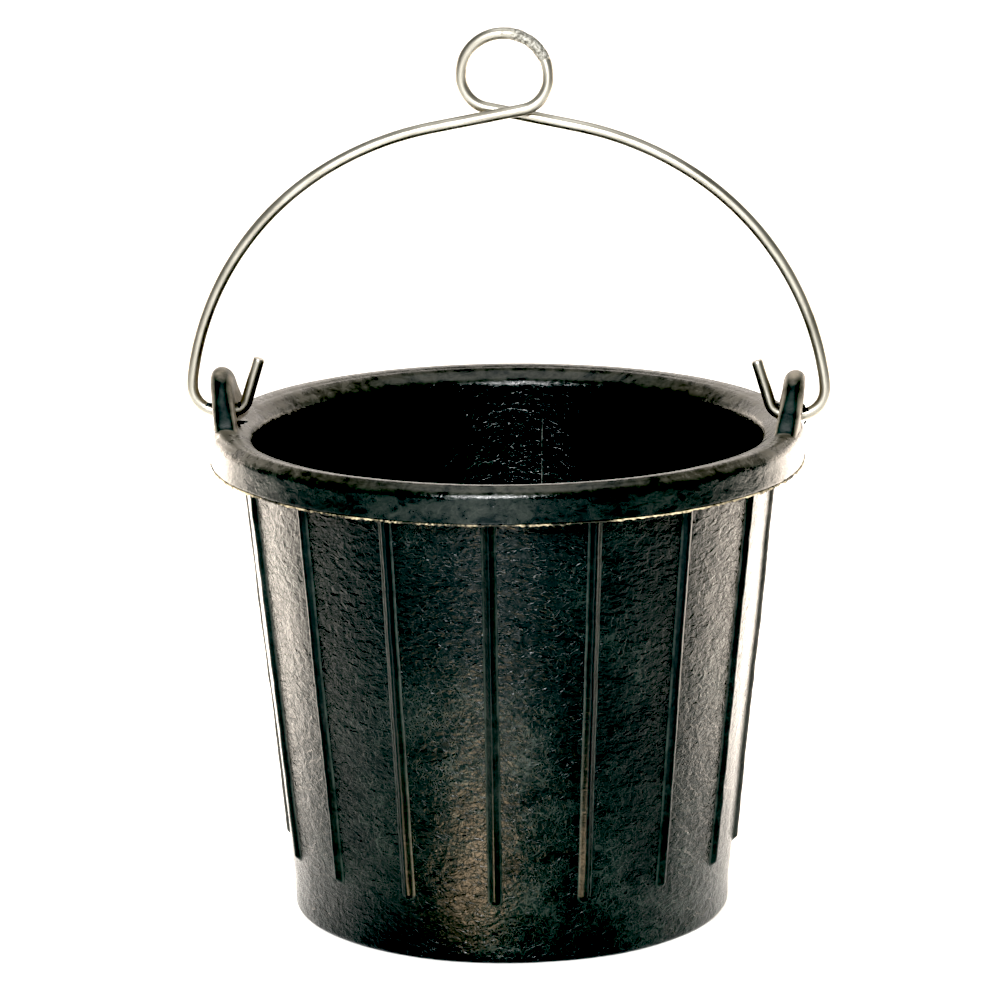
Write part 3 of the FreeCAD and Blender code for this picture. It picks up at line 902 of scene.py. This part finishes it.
# %% [markdown]
# ## Studio
# Black rubber shows what it mirrors, and a wall seen from a little above mirrors the floor. So the
# floor is white and runs on past the view, and most lights are there to light it: one above it at the
# back, and a wash and a softbox low down on each side, whose edges shape the bright flanks. A strip
# and a card lie on the floor in front and draw the upright glow, cool above and warm at the foot.
# A tube in front draws the line on the rim's shoulder, a low window reaches over the rim to the back
# wall's inside, and a softbox overhead greys what faces up.

# %% Lay the floor
def matt_white_floor():
    """Painted board, nearly white, with a faint mottle that keeps it from looking like paper."""
    made, node = new_material("matt_white_board")
    metres = node("TexCoord", {}).outputs["Object"]
    place = node("VectorMath", {0: metres, "Scale": 1 / MM}, operation="SCALE")
    mottle = soft_noise(node, place, 40, Detail=3.0)
    white = node("Mix", {"Factor": mottle, "A": linear("#f4f4f2"), "B": linear("#fafaf9")},
                 data_type="RGBA")
    shader = node("BsdfPrincipled", {"Base Color": white, "Roughness": 0.9, "Specular IOR Level": 0.1})
    node("OutputMaterial", {"Surface": shader})
    return made


FLOOR_REACH = 30.0
floor_mesh = bpy.data.meshes.new("studio_floor")
floor_corners = [(x * FLOOR_REACH, y * FLOOR_REACH, 0) for x, y in ((-1, -1), (1, -1), (1, 1), (-1, 1))]
floor_mesh.from_pydata(floor_corners, [], [(0, 1, 2, 3)])
floor_mesh.materials.append(matt_white_floor())
studio_floor = bpy.data.objects.new("studio_floor", floor_mesh)
bpy.context.scene.collection.objects.link(studio_floor)
studio_floor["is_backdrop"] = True
print("floor", 2 * FLOOR_REACH, "m across")


# %% Hang the lights
def soft_light(name, place, target, width, height, power, colour="#ffffff"):
    """A rectangular soft light that faces a target; the camera doesn't see it."""
    lamp = bpy.data.lights.new(name, "AREA")
    lamp.shape = "RECTANGLE"
    lamp.size = width
    lamp.size_y = height
    lamp.energy = power
    lamp.color = linear(colour)[:3]
    made = bpy.data.objects.new(name, lamp)
    made.location = place
    made.rotation_euler = (Vector(target) - Vector(place)).to_track_quat("-Z", "Y").to_euler()
    made.visible_camera = False
    bpy.context.scene.collection.objects.link(made)
    return made


# Each line gives a place and a target in metres, a width and a height, watts and a colour.
WARM_WHITE = "#fff0df"
soft_light("left_softbox", (-0.75, 0.80, 0.22), (0, 0, 0.05), 0.9, 0.5, 9.5, WARM_WHITE)
soft_light("right_softbox", (0.80, 0.85, 0.22), (0, 0, 0.05), 0.8, 0.5, 9.5, WARM_WHITE)
soft_light("left_wash", (-0.55, 0.38, 0.19), (-0.55, 0.38, 0.0), 0.62, 0.56, 8.5, WARM_WHITE)
soft_light("right_wash", (0.57, 0.40, 0.19), (0.57, 0.40, 0.0), 0.60, 0.56, 11, WARM_WHITE)
soft_light("back_ceiling", (0.0, 2.4, 0.8), (0.0, 2.4, 0.0), 3.4, 3.0, 75, "#fff4ea")
soft_light("front_softbox", (-0.1, -1.9, 1.6), (0, 0, 0.25), 0.9, 0.9, 16)
soft_light("front_tube", (-0.12, -2.1, 1.25), (0, 0, 0.25), 0.95, 0.32, 80)
soft_light("top_softbox", (0.0, 0.1, 1.7), (0, 0.1, 0), 1.1, 1.1, 8)
soft_light("low_window", (-0.15, -3.0, 0.45), (0, 0, 0.25), 1.0, 0.4, 9)
soft_light("front_strip", (-0.020, -0.46, 0.002), (-0.020, -0.46, 1), 0.040, 0.28, 0.40, "#f6f8f8")
soft_light("front_card", (-0.027, -0.21, 0.002), (-0.027, -0.21, 1), 0.045, 0.11, 0.24, "#ffdcb4")

# The fill lights the floor alone, which keeps the ground white without greying the rubber.
floor_fill = soft_light("floor_fill", (0.0, 1.2, 3.0), (0.0, 1.2, 0.0), 6.0, 6.0, 38)
floor_only = bpy.data.collections.new("floor_only")
floor_only.objects.link(studio_floor)
floor_fill.light_linking.receiver_collection = floor_only

# %% Fill the room with even light
room = bpy.data.worlds.new("pale_studio")
bpy.context.scene.world = room
room.use_nodes = True
room.node_tree.nodes.clear()
even_light = add(room.node_tree, "Background", {"Color": linear("#f2f4f5"), "Strength": 0.32})
add(room.node_tree, "OutputWorld", {"Surface": even_light})
print("room light", even_light.inputs["Strength"].default_value)

# %% [markdown]
# ## Developing the picture
# A camera's black is never the darkest thing it saw. Black rubber beside a white floor always carries
# a veil of mirrored light, so a studio print sets its black point a little above zero. The curve here
# does that in linear light, before the colours are encoded, so mid-tones and white hardly move.

# %% Set the black point
BLACK_POINT = (0.0580, 0.0535, 0.0520)      # red a little higher, which leaves the shadows cool
develop = bpy.context.scene.view_settings
develop.use_curve_mapping = True
develop.curve_mapping.black_level = BLACK_POINT
develop.curve_mapping.update()
print("black point at", BLACK_POINT, "of white")

# %% [markdown]
# ## Camera
# The bucket is seen from a little above, nearly square to its ears, through a long lens, which
# keeps the sides almost parallel. The camera is aimed by a target and then rolled by half a degree.

# %% Set the camera
CAMERA_PLACE = Vector((0.1807, -2.4450, 0.7957))
CAMERA_TARGET = Vector((-0.0044, -0.0003, 0.2170))
CAMERA_ROLL = math.radians(-0.56)
lens = bpy.data.cameras.new("camera")
lens.lens = 172.8
lens.sensor_width = 36.0
camera = bpy.data.objects.new("camera", lens)
aim = (CAMERA_TARGET - CAMERA_PLACE).to_track_quat("-Z", "Y")
camera.location = CAMERA_PLACE
camera.rotation_euler = (aim @ Quaternion((0, 0, 1), CAMERA_ROLL)).to_euler()
bpy.context.scene.collection.objects.link(camera)
bpy.context.scene.camera = camera
print("camera", round((CAMERA_TARGET - CAMERA_PLACE).length, 3), "m away")

# %% Compare the visual model's box with the CAD box, and finish
visual_low, visual_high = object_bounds()
grown = [round((b - a) / MM, 2) for a, b in zip(cad_high, visual_high)]
print("grew by", grown, "mm at the high corner")
